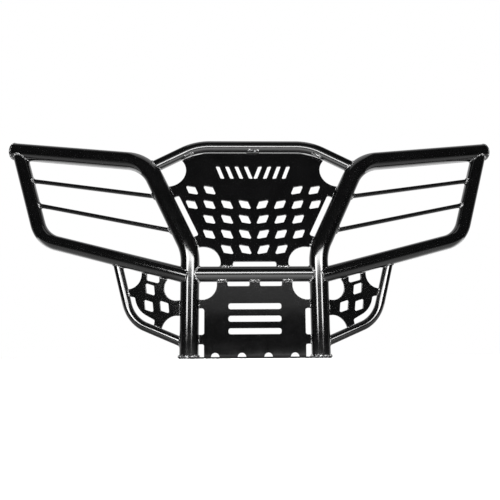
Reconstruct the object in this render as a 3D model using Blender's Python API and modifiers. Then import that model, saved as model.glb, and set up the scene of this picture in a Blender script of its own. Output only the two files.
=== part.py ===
"""Front grille guard: a welded tubular-steel bumper with grille plates.

The finished model stands with +Z up, its front towards -Y and X = 0 as its
plane of symmetry.  Its origin is the middle of the mounting flange's four bolt
holes, on the flange's underside.  The pieces are laid out from the uprights,
with y = 0 through the uprights' axes, and a parent empty moves them back by
BOLT_Y.  Lengths are millimetres, turned into metres by MM.
"""
import math

import bmesh
import bpy
from mathutils import Matrix, Vector

MM = 0.001
GAP = 0.3                       # clearance kept between touching pieces
COLLECTION = "front_grille_guard"

# Tube and sheet stock
MAIN_OD = 38.1                  # 1-1/2 in uprights and wing top bars
WING_OD = 31.75                 # 1-1/4 in lower wing tubes and cross tube
HOOP_OD = 25.4                  # 1 in top hoop
CORNER_OD = 19.05               # 3/4 in corner guard tubes
ROD_D = 9.5                     # 3/8 in guard rods
WALL = 2.1                      # 14 gauge wall
CORNER_WALL = 1.7               # 16 gauge wall
SHEET = 3.2                     # 1/8 in plate
TAB_SHEET = 4.8                 # 3/16 in mounting tabs

# Main tubes: upright, leaning run, swept wing bar
BASE_X = 130.7
BEND_X = 129.2
BEND_Z = 214.5
OUT_ANGLE = math.radians(25.0)  # run leans outwards
LEAN = math.radians(15.0)       # run and upper plate lean back
SWEEP = math.radians(16.0)      # wings sweep back in plan
MAIN_BEND_R = 88.9
BAR_RISE = math.radians(9.2)   # slope of the wing bar in the wing's plane
BAR_START = 226.8               # run length up to the corner of the bar
BAR_LENGTH = 330.8
CAP_THICK = 3.0

# Wing details, in the wing's own plane: along is outwards, up is upwards
WING_ROOT_UP = -52.8
WING_SLOPE = math.radians(15.4)
WING_CORNER_ALONG = 337.9
WING_TOP_ALONG = 418.3
WING_BEND_R = 76.2
WING_TOP_SHORT = 10.5           # the outer leg ends inside the bar, short of its axis
RODS = (("upper", 117.7, math.radians(10.8)), ("lower", 39.9, math.radians(13.4)))

# Cross tube, hoop
CROSS_Z = 167.0
HOOP_FLAT_V = 293.3             # height of the flat top, measured up the lean
HOOP_CORNER_X = 122.4
HOOP_DROP = math.radians(29.6)
HOOP_LEG_X = 98.0               # sideways reach of each sloping leg
HOOP_BEND_R = 114.3

# Upper grille plate, in its own plane (x, height up the lean from CROSS_Z)
PLATE_BACK = 3.8                # plate's middle behind the axes of the runs
SCALLOP_LOW = (103.7, 24.0, 35.5)     # x, height, radius
SCALLOP_TOP = (180.8, 236.6, 38.6)
GRILLE_FOOT_V = 17.7            # lower edge, just above the cross tube
GRILLE_NOTCH = (43.6, 26.9)     # half width and height of the notch in that edge
GRILLE_FOOT_X = 70.0
RUN_TAB_LOW_V = 59.0            # welded to the run below the slot...
RUN_SLOT_V = (81.8, 172.5)
RUN_TAB_HIGH_V = 198.0          # ...and above it
HOOP_TAB_X = (129.0, 146.0)     # side tabs welded to the hoop
HOOP_RELIEF_X = (92.0, 106.0)
HOOP_MIDDLE_TAB = 14.0          # half width of the middle tab
TUBE_SLOT = 10.7                # open slots left along the tubes
HOOP_SLOT = 0.5
GRID_PITCH_X = 36.7
GRID_PITCH_V = 34.0
GRID_TOP_V = 189.6
GRID_ROWS = ((2.5, 3.5), (0.5, 1.5, 2.5, 3.5), (0.5, 1.5, 2.5), (0.5, 1.5, 2.5), (0.5, 1.5))
DIAMOND_ACROSS = (20.2, 3.7)    # upper edge of a diamond: inwards and down
DIAMOND_DOWN = (7.3, 18.0)      # side edge of a diamond: inwards and down
VENT_V = 232.0
VENT_PITCH = 20.0
VENT_COUNT = 4                  # slanted vents on each side of the middle

# Lower plate, a face folded into a flange
FOLD_R = 5.2                    # middle radius of the fold
FLANGE_HALF = 150.5
FLANGE_FRONT = -20.0
FLANGE_BACK = 80.0
SCALLOP_FACE = (105.8, 146.0, 30.0)   # x, height, radius
FACE_NOTCH_X = (10.7, 54.3)     # notches in the top edge
FACE_NOTCH_Z = 143.2
FACE_TABS_Z = ((27.9, 46.7), (98.7, 116.9))
FACE_SIDE_X = 100.9
EAR_INNER_X = 105.0             # ears stand in front of the fold, under the uprights
EAR_NOTCH_Y = 13.0
LOUVRE_HALF = 52.7
LOUVRE_TOP_Z = 102.7
LOUVRE_PITCH = 24.7
LOUVRE_HEIGHT = 11.5
RELIEF_R = 8.4                  # round relief holes on the fold line
RELIEF_PITCH = 52.6
BOLT_D = 10.5
BOLT_X = (45.0, 120.0)
BOLT_Y = 50.0

# Corner guards, in a vertical plane swept back from the upright
CORNER_SWEEP = math.radians(16.0)
CORNER_ORIGIN_X = 130.0
CORNER_KNEE = (250.2, 76.9)
CORNER_LOW_SLOPE = math.radians(22.8)
CORNER_LEAN = math.radians(14.6)
CORNER_BEND_R = 70.0
CORNER_TUBE_SLOT = 9.5
CORNER_UPRIGHT_SCALLOP = (156.9, 140.5, 25.2)
CORNER_OUTER_SCALLOP = (258.6, 170.5, 29.4)
CORNER_FOOT_SCALLOP = (155.6, 53.7, 31.0)
CORNER_UPRIGHT_TAB_Z = (84.4, 116.0)
CORNER_BAR_NOTCH_X = (192.0, 218.0)
CORNER_BAR_END_X = 228.6
CORNER_TUBE_TAB_Z = (141.0, 126.0)
CORNER_FOOT_TAB_X = (202.0, 186.2)
CORNER_DIAMOND_ACROSS = (18.3, 6.0)
CORNER_DIAMOND_DOWN = (2.2, 20.0)
CORNER_DIAMONDS = ((210.7, 139.4), (213.1, 106.0), (180.7, 103.1))

# Rear mounting tabs behind the uprights
TAB_Z = (112.0, 162.0)
TAB_REACH = 70.0
TAB_HOLE_Y = 54.0

RUN = Vector((math.sin(OUT_ANGLE), math.cos(OUT_ANGLE) * math.sin(LEAN),
              math.cos(OUT_ANGLE) * math.cos(LEAN)))
ALONG = Vector((math.cos(SWEEP), math.sin(SWEEP), 0.0))
WING_UP = (RUN - ALONG * RUN.dot(ALONG)).normalized()
BEND = Vector((BEND_X, 0.0, BEND_Z))
RUN_SLOPE = RUN.dot(ALONG) / RUN.dot(WING_UP)
BEND_V = (BEND_Z - CROSS_Z) / math.cos(LEAN)
SIDES = (("left", -1), ("right", 1))

material_for = {}


def clear_scene():
    for old in list(bpy.data.objects):
        bpy.data.objects.remove(old, do_unlink=True)


def collection(name):
    found = bpy.data.collections.new(name)
    bpy.context.scene.collection.children.link(found)
    return found


def powder_coat(name, shade, roughness):
    made = bpy.data.materials.new(name)
    made.use_nodes = True
    shader = made.node_tree.nodes["Principled BSDF"]
    shader.inputs["Base Color"].default_value = (shade, shade, shade * 1.05, 1.0)
    shader.inputs["Roughness"].default_value = roughness
    shader.inputs["Metallic"].default_value = 0.0
    made.diffuse_color = (shade, shade, shade, 1.0)
    return made


# ---------------------------------------------------------------- outlines

def arc(cx, cy, radius, start, end, steps):
    """Points from angle start to angle end, both in degrees."""
    angles = [math.radians(start + (end - start) * i / steps) for i in range(steps + 1)]
    return [(cx + radius * math.cos(a), cy + radius * math.sin(a)) for a in angles]


def rounded(corners, steps=2):
    """A closed outline whose corners (x, y, radius) are rounded."""
    points = []
    count = len(corners)
    for i, (x, y, radius) in enumerate(corners):
        here = Vector((x, y))
        if radius <= 0.0:
            points.append((x, y))
            continue
        back = (Vector(corners[i - 1][:2]) - here).normalized()
        ahead = (Vector(corners[(i + 1) % count][:2]) - here).normalized()
        half = back.angle(ahead) / 2.0
        centre = here + (back + ahead).normalized() * (radius / math.sin(half))
        first = here + back * (radius / math.tan(half)) - centre
        last = here + ahead * (radius / math.tan(half)) - centre
        turn = first.angle_signed(last)
        for k in range(steps + 1):
            share = -turn * k / steps
            spot = Matrix.Rotation(share, 2) @ first
            points.append((centre.x + spot.x, centre.y + spot.y))
    return points


def mirrored(half):
    """A closed outline from its x > 0 half, listed bottom centre to top centre."""
    return half + [(-x, y) for x, y in reversed(half) if x > 1e-6]


def flipped(points, side):
    return [(side * x, y) for x, y in points]


def slot_box(cx, cy, half_width, half_height, radius, steps=2):
    return rounded([(cx - half_width, cy - half_height, radius),
                    (cx + half_width, cy - half_height, radius),
                    (cx + half_width, cy + half_height, radius),
                    (cx - half_width, cy + half_height, radius)], steps)


def diamond(cx, cy, across, down, side, radius=2.6):
    """A parallelogram whose edges run inwards and down on its side."""
    ax, ay = -side * across[0] / 2.0, -across[1] / 2.0
    dx, dy = -side * down[0] / 2.0, -down[1] / 2.0
    corners = [(cx - ax - dx, cy - ay - dy, radius), (cx + ax - dx, cy + ay - dy, radius),
               (cx + ax + dx, cy + ay + dy, radius), (cx - ax + dx, cy - ay + dy, radius)]
    return rounded(corners)


# ------------------------------------------------------------ making meshes

def scaled(points):
    return [Vector(p) * MM for p in points]


def add_object(name, data, group, material=None):
    made = bpy.data.objects.new(name, data)
    group.objects.link(made)
    if material is not None:
        made.data.materials.append(material)
    return made


def mesh_of(curve_object, weld=0.00002):
    """The evaluated mesh of a curve, with its caps welded."""
    bpy.context.view_layer.update()
    graph = bpy.context.evaluated_depsgraph_get()
    mesh = bpy.data.meshes.new_from_object(curve_object.evaluated_get(graph))
    work = bmesh.new()
    work.from_mesh(mesh)
    bmesh.ops.remove_doubles(work, verts=work.verts, dist=weld)
    bmesh.ops.recalc_face_normals(work, faces=work.faces)
    work.to_mesh(mesh)
    work.free()
    return mesh


def bake(curve_object, group, material):
    """Turns a curve into a mesh object of the same name and place."""
    name = curve_object.name
    mesh = mesh_of(curve_object)
    place = curve_object.matrix_world.copy()
    bpy.data.objects.remove(curve_object, do_unlink=True)
    made = add_object(name, mesh, group)
    made.matrix_world = place
    mesh.materials.clear()
    if material is not None:
        mesh.materials.append(material)
    mesh.name = name
    return made


def sweep_curve(name, path, diameter, group, closed_ends, resolution):
    curve = bpy.data.curves.new(name, "CURVE")
    curve.dimensions = "3D"
    curve.bevel_depth = diameter * MM / 2.0
    curve.bevel_resolution = resolution
    curve.use_fill_caps = closed_ends
    spline = curve.splines.new("POLY")
    spline.points.add(len(path) - 1)
    for point, place in zip(spline.points, path):
        point.co = (*(place * MM), 1.0)
    return add_object(name, curve, group)


def tube(name, path, diameter, wall, group, material, resolution=6):
    """A hollow tube along a path, open at both ends."""
    made = bake(sweep_curve(name, path, diameter, group, False, resolution), group, material)
    shell = made.modifiers.new("wall", "SOLIDIFY")
    shell.thickness = wall * MM
    shell.offset = -1.0
    shell.use_even_offset = True
    made.data.shade_smooth()
    made.data.set_sharp_from_angle(angle=math.radians(40.0))
    return made


def rod(name, path, diameter, group, material, resolution=4):
    made = bake(sweep_curve(name, path, diameter, group, True, resolution), group, material)
    made.data.shade_smooth()
    made.data.set_sharp_from_angle(angle=math.radians(40.0))
    return made


def cutter_rod(name, path, diameter, resolution=6):
    """A closed solid that fills a tube's outside, with the clearance added."""
    made = rod(name, path, diameter + 2.0 * GAP, cutters, None, resolution)
    made.hide_render = True
    made.display_type = "WIRE"
    return made


def cut(piece, *tools):
    for tool in tools:
        step = piece.modifiers.new("cope", "BOOLEAN")
        step.operation = "DIFFERENCE"
        step.solver = "EXACT"
        step.object = tool
    return piece


def flat_plate(name, outlines, thickness, group, material):
    """A sheet in the local XY plane: the first outline less the others."""
    curve = bpy.data.curves.new(name, "CURVE")
    curve.dimensions = "2D"
    curve.fill_mode = "BOTH"
    curve.extrude = thickness * MM / 2.0
    for outline in outlines:
        spline = curve.splines.new("POLY")
        spline.points.add(len(outline) - 1)
        for point, (x, y) in zip(spline.points, outline):
            point.co = (x * MM, y * MM, 0.0, 1.0)
        spline.use_cyclic_u = True
    return bake(add_object(name, curve, group), group, material)


# ------------------------------------------------------------------- paths

def bent(corners, radius, step_degrees=9.0):
    """A path through the corners, each inner corner bent to the radius."""
    path = [corners[0]]
    for before, here, after in zip(corners, corners[1:], corners[2:]):
        back = (before - here).normalized()
        ahead = (after - here).normalized()
        half = back.angle(ahead) / 2.0
        turn = math.pi - 2.0 * half
        centre = here + (back + ahead).normalized() * (radius / math.sin(half))
        axis = back.cross(ahead).normalized()
        first = here + back * (radius / math.tan(half)) - centre
        steps = max(2, round(math.degrees(turn) / step_degrees))
        for k in range(steps + 1):
            path.append(centre + Matrix.Rotation(-turn * k / steps, 3, axis) @ first)
    path.append(corners[-1])
    return path


def across(point, side):
    return Vector((side * point.x, point.y, point.z))


def wing_point(along, up):
    return BEND + ALONG * along + WING_UP * up


def lean_point(x, v):
    """A point in the plane of the two leaning runs."""
    return Vector((x, (v - BEND_V) * math.sin(LEAN), CROSS_Z + v * math.cos(LEAN)))


def upright_x(z):
    return BEND_X + (BASE_X - BEND_X) * (BEND_Z - z) / BEND_Z


def corner_point(x, z):
    return Vector((x, (x - CORNER_ORIGIN_X) * math.tan(CORNER_SWEEP), z))


def main_path():
    base = Vector((upright_x(SHEET + GAP), 0.0, SHEET + GAP))
    bar_corner = BEND + RUN * BAR_START
    tip = bar_corner + bar_direction() * (BAR_LENGTH - CAP_THICK - GAP)
    return bent([base, BEND, bar_corner, tip], MAIN_BEND_R)


def bar_direction():
    return ALONG * math.cos(BAR_RISE) + WING_UP * math.sin(BAR_RISE)


def bar_up(along):
    """Height of the wing bar's axis in the wing's plane."""
    start_along = BAR_START * RUN.dot(ALONG)
    start_up = BAR_START * RUN.dot(WING_UP)
    return start_up + (along - start_along) * math.tan(BAR_RISE)


def wing_path():
    knee = wing_point(WING_CORNER_ALONG, WING_ROOT_UP + WING_CORNER_ALONG * math.tan(WING_SLOPE))
    top = wing_point(WING_TOP_ALONG, bar_up(WING_TOP_ALONG))
    top += (knee - top).normalized() * WING_TOP_SHORT
    return bent([wing_point(0.0, WING_ROOT_UP), knee, top], WING_BEND_R)


def hoop_path():
    foot = (HOOP_CORNER_X + HOOP_LEG_X, HOOP_FLAT_V - HOOP_LEG_X * math.tan(HOOP_DROP))
    corners = [lean_point(-foot[0], foot[1]), lean_point(-HOOP_CORNER_X, HOOP_FLAT_V),
               lean_point(HOOP_CORNER_X, HOOP_FLAT_V), lean_point(*foot)]
    return bent(corners, HOOP_BEND_R)


def wing_root_z(x):
    """Height of the lower wing tube's axis above a given x."""
    root, tip = wing_point(0.0, WING_ROOT_UP), wing_path()[1]
    return root.z + (tip.z - root.z) * (x - root.x) / (tip.x - root.x)


def corner_tube_x(z):
    """The upper leg of the corner tube."""
    return CORNER_KNEE[0] + (z - CORNER_KNEE[1]) * math.tan(CORNER_LEAN)


def corner_tube_z(x):
    """The lower leg of the corner tube."""
    return CORNER_KNEE[1] + (x - CORNER_KNEE[0]) * math.tan(CORNER_LOW_SLOPE)


def corner_path():
    top_z = wing_root_z(CORNER_KNEE[0]) + 10.0
    corners = [corner_point(BASE_X, corner_tube_z(BASE_X)), corner_point(*CORNER_KNEE),
               corner_point(corner_tube_x(top_z), top_z)]
    return bent(corners, CORNER_BEND_R)


def rod_path(start_up, slope):
    """From the run's axis to the axis of the wing tube's outer leg."""
    knee_up = WING_ROOT_UP + WING_CORNER_ALONG * math.tan(WING_SLOPE)
    leg = (WING_TOP_ALONG - WING_CORNER_ALONG) / (bar_up(WING_TOP_ALONG) - knee_up)
    start_along = start_up * RUN_SLOPE
    reach = WING_CORNER_ALONG + leg * (start_up - knee_up) - start_along
    reach /= 1.0 - leg * math.tan(slope)
    return [wing_point(start_along, start_up),
            wing_point(start_along + reach, start_up + reach * math.tan(slope))]


# ------------------------------------------------------------------ plates

def run_edge_x(v, offset):
    """Inner edge line of the leaning run at an offset from its axis."""
    return BEND_X + (v - BEND_V) * math.tan(OUT_ANGLE) - offset / math.cos(OUT_ANGLE)


def hoop_edge_v(x, offset):
    """Lower edge line of the hoop's sloping leg at an offset from its axis."""
    return HOOP_FLAT_V - (x - HOOP_CORNER_X) * math.tan(HOOP_DROP) - offset / math.cos(HOOP_DROP)


def hoop_under_v(x, offset):
    """Lower edge line of the hoop's flat top and of its bend."""
    start = HOOP_CORNER_X - HOOP_BEND_R * math.tan(HOOP_DROP / 2.0)
    radius = HOOP_BEND_R - offset
    return HOOP_FLAT_V - HOOP_BEND_R + math.sqrt(radius ** 2 - max(0.0, x - start) ** 2)


def grille_outline():
    touch = MAIN_OD / 2.0 + GAP
    clear = touch + TUBE_SLOT
    hoop_touch = HOOP_OD / 2.0 + GAP
    hoop_clear = hoop_touch + HOOP_SLOT
    notch_x, notch_v = GRILLE_NOTCH
    slot_low, slot_high = RUN_SLOT_V
    tab_in, tab_out = HOOP_TAB_X
    half = [(notch_x, notch_v), (notch_x, GRILLE_FOOT_V), (GRILLE_FOOT_X, GRILLE_FOOT_V)]
    half += arc(*SCALLOP_LOW, 187.0, 78.0, 12)
    half += rounded([(run_edge_x(RUN_TAB_LOW_V, touch), RUN_TAB_LOW_V, 0.0),
                     (run_edge_x(slot_low, touch), slot_low, 0.0),
                     (run_edge_x(slot_low + 4.0, clear), slot_low + 4.0, 4.0),
                     (run_edge_x(slot_high + 4.0, clear), slot_high + 4.0, 4.0),
                     (run_edge_x(slot_high, touch), slot_high, 0.0),
                     (run_edge_x(RUN_TAB_HIGH_V, touch), RUN_TAB_HIGH_V, 0.0)])
    half += arc(*SCALLOP_TOP, 262.0, 141.0, 14)
    half += [(tab_out, hoop_edge_v(tab_out, hoop_touch)),
             (tab_in, hoop_edge_v(tab_in, hoop_touch + 1.7)),
             (tab_in - 4.0, hoop_edge_v(tab_in - 4.0, hoop_clear + 2.2)),
             (HOOP_RELIEF_X[1], hoop_under_v(HOOP_RELIEF_X[1], hoop_clear)),
             (HOOP_RELIEF_X[0], HOOP_FLAT_V - hoop_clear),
             (HOOP_MIDDLE_TAB, HOOP_FLAT_V - hoop_clear),
             (HOOP_MIDDLE_TAB, HOOP_FLAT_V - hoop_touch)]
    return mirrored(half)


def grille_holes():
    holes = []
    for row, columns in enumerate(GRID_ROWS):
        v = GRID_TOP_V - row * GRID_PITCH_V
        for column in columns:
            for _, side in SIDES:
                x = side * column * GRID_PITCH_X
                holes.append(diamond(x, v, DIAMOND_ACROSS, DIAMOND_DOWN, side))
    for k in range(VENT_COUNT):
        for _, side in SIDES:
            x = side * (k + 0.5) * VENT_PITCH
            holes.append(diamond(x, VENT_V, (8.5, 1.5), (11.0, 30.0), side, 2.0))
    return holes


def make_grille_plate():
    made = flat_plate("grille_plate", [grille_outline()] + grille_holes(), SHEET, parts,
                      material_for["plate"])
    made.rotation_euler = (math.pi / 2.0 - LEAN, 0.0, 0.0)
    back = Vector((0.0, math.cos(LEAN), -math.sin(LEAN)))
    made.location = (lean_point(0.0, 0.0) + back * PLATE_BACK) * MM
    return made


def face_height(z):
    """Height on the flat pattern of a point z on the folded face."""
    return z - FOLD_R - SHEET / 2.0


def flange_height(y):
    """Height on the flat pattern of a point y on the folded flange."""
    return -FOLD_R * math.pi / 2.0 - (y - FOLD_R)


def lower_outline():
    touch = MAIN_OD / 2.0 + GAP
    top = face_height(CROSS_Z - WING_OD / 2.0 - GAP)
    notch_floor = face_height(FACE_NOTCH_Z)
    notch_in, notch_out = FACE_NOTCH_X
    scallop_x, scallop_z, scallop_r = SCALLOP_FACE
    foot_x = EAR_INNER_X - 3.8
    flange = rounded([(0.0, flange_height(FLANGE_BACK), 0.0),
                      (FLANGE_HALF, flange_height(FLANGE_BACK), 12.0),
                      (FLANGE_HALF, flange_height(FLANGE_FRONT), 6.0),
                      (EAR_INNER_X, flange_height(FLANGE_FRONT), 8.0),
                      (EAR_INNER_X, flange_height(EAR_NOTCH_Y), 1.8),
                      (foot_x, flange_height(EAR_NOTCH_Y), 1.8)])
    side = [(foot_x, flange_height(0.0), 0.0), (foot_x, face_height(FACE_TABS_Z[0][0]), 3.0)]
    for k, (z_low, z_high) in enumerate(FACE_TABS_Z):
        side += [(upright_x(z_low) - touch, face_height(z_low), 0.0),
                 (upright_x(z_high) - touch, face_height(z_high), 0.0)]
        if k == 0:
            side += [(FACE_SIDE_X, face_height(z_high), 4.5),
                     (FACE_SIDE_X, face_height(FACE_TABS_Z[1][0]), 4.5)]
    half = flange[1:] + rounded(side)[1:]
    half += arc(scallop_x, face_height(scallop_z), scallop_r, -80.0, -180.0, 12)[1:]
    half += [(scallop_x - scallop_r, top)]
    half += [(notch_out, top), (notch_out, notch_floor), (notch_in, notch_floor), (notch_in, top)]
    return mirrored(half)


def lower_holes():
    holes = []
    for k in range(3):
        z = LOUVRE_TOP_Z - k * LOUVRE_PITCH
        holes.append(slot_box(0.0, face_height(z), LOUVRE_HALF, LOUVRE_HEIGHT / 2.0, 4.6, 3))
    for step in (0.5, 1.5):
        for _, side in SIDES:
            fold_middle = -FOLD_R * math.pi / 4.0
            holes.append(arc(side * step * RELIEF_PITCH, fold_middle, RELIEF_R, 0.0, 345.0, 23))
    for x in BOLT_X:
        for _, side in SIDES:
            holes.append(arc(side * x, flange_height(BOLT_Y), BOLT_D / 2.0, 0.0, 337.5, 15))
    return holes


def fold(mesh):
    """Folds the flat pattern: the face rises, the flange and its ears stay flat."""
    work = bmesh.new()
    work.from_mesh(mesh)
    end = -FOLD_R * math.pi / 2.0
    for k in range(6):
        where = Vector((0.0, end * k / 5.0 * MM, 0.0))
        everything = work.verts[:] + work.edges[:] + work.faces[:]
        bmesh.ops.bisect_plane(work, geom=everything, plane_co=where, plane_no=(0.0, 1.0, 0.0),
                               dist=0.000001)
    for vert in work.verts:
        x, s, w = vert.co / MM
        ear = abs(x) > EAR_INNER_X - 2.0 and s < flange_height(FLANGE_FRONT) + 1.0
        if ear or s <= end:
            y, z = FOLD_R + end - s, SHEET / 2.0 - w
        elif s < 0.0:
            angle = -s / FOLD_R
            reach = FOLD_R + w
            y, z = FOLD_R - reach * math.cos(angle), FOLD_R + SHEET / 2.0 - reach * math.sin(angle)
        else:
            y, z = -w, FOLD_R + SHEET / 2.0 + s
        vert.co = Vector((x, y, z)) * MM
    bmesh.ops.recalc_face_normals(work, faces=work.faces)
    work.to_mesh(mesh)
    work.free()


def make_lower_plate():
    made = flat_plate("lower_plate", [lower_outline()] + lower_holes(), SHEET, parts,
                      material_for["plate"])
    fold(made.data)
    return made


def corner_outline():
    bar_clear = WING_OD / 2.0 / math.cos(WING_SLOPE) + 2.0 * GAP
    tube_touch = CORNER_OD / 2.0 + GAP
    tube_clear = tube_touch + CORNER_TUBE_SLOT

    def under_bar(x, depth=0.0):
        return (x, wing_root_z(x) - bar_clear - depth)

    def beside_tube(z, offset):
        return (corner_tube_x(z) - offset / math.cos(CORNER_LEAN), z)

    def above_tube(x, offset):
        return (x, corner_tube_z(x) + offset / math.cos(CORNER_LOW_SLOPE))

    upright_edge = upright_x(100.0) + MAIN_OD / 2.0 + GAP
    knee_x, knee_z = CORNER_KNEE
    notch_in, notch_out = CORNER_BAR_NOTCH_X
    tab_high, tab_low = CORNER_TUBE_TAB_Z
    foot_out, foot_in = CORNER_FOOT_TAB_X
    points = [(upright_edge, z) for z in CORNER_UPRIGHT_TAB_Z]
    points += arc(*CORNER_UPRIGHT_SCALLOP, -100.0, 43.0, 12)
    points += rounded([(*under_bar(notch_in), 0.0), (*under_bar(notch_in, 12.0), 4.0),
                       (*under_bar(notch_out, 12.0), 4.0), (*under_bar(notch_out), 0.0)])
    points += [under_bar(CORNER_BAR_END_X)]
    points += arc(*CORNER_OUTER_SCALLOP, 180.0, 258.0, 8)
    points += [beside_tube(tab_high, tube_touch)]
    points += rounded([(*beside_tube(tab_low, tube_touch), 0.0),
                       (*beside_tube(tab_low - 2.0, tube_clear), 4.0),
                       (knee_x - 13.5, knee_z + 20.5, 46.0),
                       (*above_tube(foot_out - 1.5, tube_clear), 4.0),
                       (*above_tube(foot_out, tube_touch), 0.0)], 5)
    points += [above_tube(foot_in, tube_touch)]
    points += arc(*CORNER_FOOT_SCALLOP, 14.0, 96.0, 8)
    across_plane = math.cos(CORNER_SWEEP)
    return [((x - CORNER_ORIGIN_X) / across_plane, z) for x, z in points]


def make_corner_plate(side_name, side):
    outlines = [flipped(corner_outline(), side)]
    for x, z in CORNER_DIAMONDS:
        middle = side * (x - CORNER_ORIGIN_X) / math.cos(CORNER_SWEEP)
        outlines.append(diamond(middle, z, CORNER_DIAMOND_ACROSS, CORNER_DIAMOND_DOWN, side))
    made = flat_plate("corner_plate_" + side_name, outlines, SHEET, parts, material_for["plate"])
    made.rotation_euler = (math.pi / 2.0, 0.0, side * CORNER_SWEEP)
    made.location = (side * CORNER_ORIGIN_X * MM, 0.0, 0.0)
    return made


def make_mount_tab(side_name, side):
    low, high = TAB_Z
    front = MAIN_OD / 2.0 + GAP
    outline = rounded([(front, low, 0.0), (TAB_REACH, low, 10.0), (TAB_REACH, high, 10.0),
                       (front, high, 0.0)], 3)
    hole = arc(TAB_HOLE_Y, (low + high) / 2.0, BOLT_D / 2.0, 0.0, 337.5, 15)
    made = flat_plate("rear_mount_tab_" + side_name, [outline, hole], TAB_SHEET, parts,
                      material_for["plate"])
    made.rotation_euler = (math.pi / 2.0, 0.0, math.pi / 2.0)
    made.location = (side * upright_x((low + high) / 2.0) * MM, 0.0, 0.0)
    return made


# ------------------------------------------------------------------- tubes

def make_tip_cap(side_name, side):
    """A pressed disc that closes the outer end of a wing bar."""
    end = main_path()[-1]
    direction = bar_direction()
    bpy.ops.mesh.primitive_cylinder_add(vertices=24, radius=MAIN_OD / 2.0 * MM,
                                        depth=CAP_THICK * MM)
    made = bpy.context.object
    made.name = made.data.name = "tip_cap_" + side_name
    for owner in list(made.users_collection):
        owner.objects.unlink(made)
    parts.objects.link(made)
    made.data.materials.append(material_for["tube"])
    centre = across(end + direction * (GAP + CAP_THICK / 2.0), side)
    made.location = centre * MM
    made.rotation_euler = across(direction, side).to_track_quat("Z", "Y").to_euler()
    edge = made.modifiers.new("edge", "BEVEL")
    edge.width = 1.2 * MM
    edge.segments = 2
    edge.limit_method = "ANGLE"
    edge.angle_limit = math.radians(60.0)
    made.data.shade_smooth()
    made.data.set_sharp_from_angle(angle=math.radians(50.0))
    return made


def make_side(side_name, side):
    """Every tube on one side, coped to its neighbours."""
    steel = material_for["tube"]
    main = [across(p, side) for p in main_path()]
    wing = [across(p, side) for p in wing_path()]
    corner = [across(p, side) for p in corner_path()]
    tube("main_tube_" + side_name, main, MAIN_OD, WALL, parts, steel)
    main_cutter = cutter_rod("main_cutter_" + side_name, main, MAIN_OD)
    wing_cutter = cutter_rod("wing_cutter_" + side_name, wing, WING_OD)
    cut(tube("wing_tube_" + side_name, wing, WING_OD, WALL, parts, steel), main_cutter)
    cut(tube("corner_tube_" + side_name, corner, CORNER_OD, CORNER_WALL, parts, steel, 4),
        main_cutter, wing_cutter)
    for level, start_up, slope in RODS:
        path = [across(p, side) for p in rod_path(start_up, slope)]
        cut(rod("guard_rod_" + level + "_" + side_name, path, ROD_D, parts, steel),
            main_cutter, wing_cutter)
    make_tip_cap(side_name, side)
    make_corner_plate(side_name, side)
    make_mount_tab(side_name, side)
    return main_cutter


def stand_on_bolts():
    """Parents every piece to an empty that puts the origin amid the bolt holes."""
    frame = bpy.data.objects.new(COLLECTION + "_frame", None)
    parts.objects.link(frame)
    frame.location = (0.0, -BOLT_Y * MM, 0.0)
    for piece in [*parts.objects, *cutters.objects]:
        if piece is not frame:
            piece.parent = frame


clear_scene()
parts = collection(COLLECTION)
cutters = collection(COLLECTION + "_cutters")
material_for["tube"] = powder_coat("gloss_black_tube", 0.012, 0.22)
material_for["plate"] = powder_coat("gloss_black_plate", 0.016, 0.3)
main_cutters = [make_side(name, side) for name, side in SIDES]
cross_half = Vector((upright_x(CROSS_Z), 0.0, CROSS_Z))
cut(tube("cross_tube", [across(cross_half, -1), cross_half], WING_OD, WALL, parts,
         material_for["tube"]), *main_cutters)
cut(tube("top_hoop", hoop_path(), HOOP_OD, WALL, parts, material_for["tube"], 5), *main_cutters)
make_grille_plate()
make_lower_plate()
stand_on_bolts()
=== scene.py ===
import math
from contextlib import contextmanager

import bmesh
import bpy
import numpy as np
from mathutils import Matrix, Vector

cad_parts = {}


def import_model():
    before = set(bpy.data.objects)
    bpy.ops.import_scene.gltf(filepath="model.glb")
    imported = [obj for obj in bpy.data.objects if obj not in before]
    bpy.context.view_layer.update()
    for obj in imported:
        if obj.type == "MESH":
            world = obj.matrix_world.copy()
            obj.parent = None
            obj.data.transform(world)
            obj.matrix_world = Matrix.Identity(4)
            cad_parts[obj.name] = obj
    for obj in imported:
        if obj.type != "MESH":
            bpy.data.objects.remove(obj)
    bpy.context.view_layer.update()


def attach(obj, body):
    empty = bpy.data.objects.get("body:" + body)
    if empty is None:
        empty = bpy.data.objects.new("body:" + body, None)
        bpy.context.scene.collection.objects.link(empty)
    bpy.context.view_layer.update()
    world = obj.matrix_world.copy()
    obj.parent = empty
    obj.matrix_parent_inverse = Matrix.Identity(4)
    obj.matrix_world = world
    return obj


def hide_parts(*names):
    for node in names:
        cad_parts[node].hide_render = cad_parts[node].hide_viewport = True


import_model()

MM = 0.001
SHIFT_Y = -50.0                 # the uprights stand this far in front of the bolt line

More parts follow.
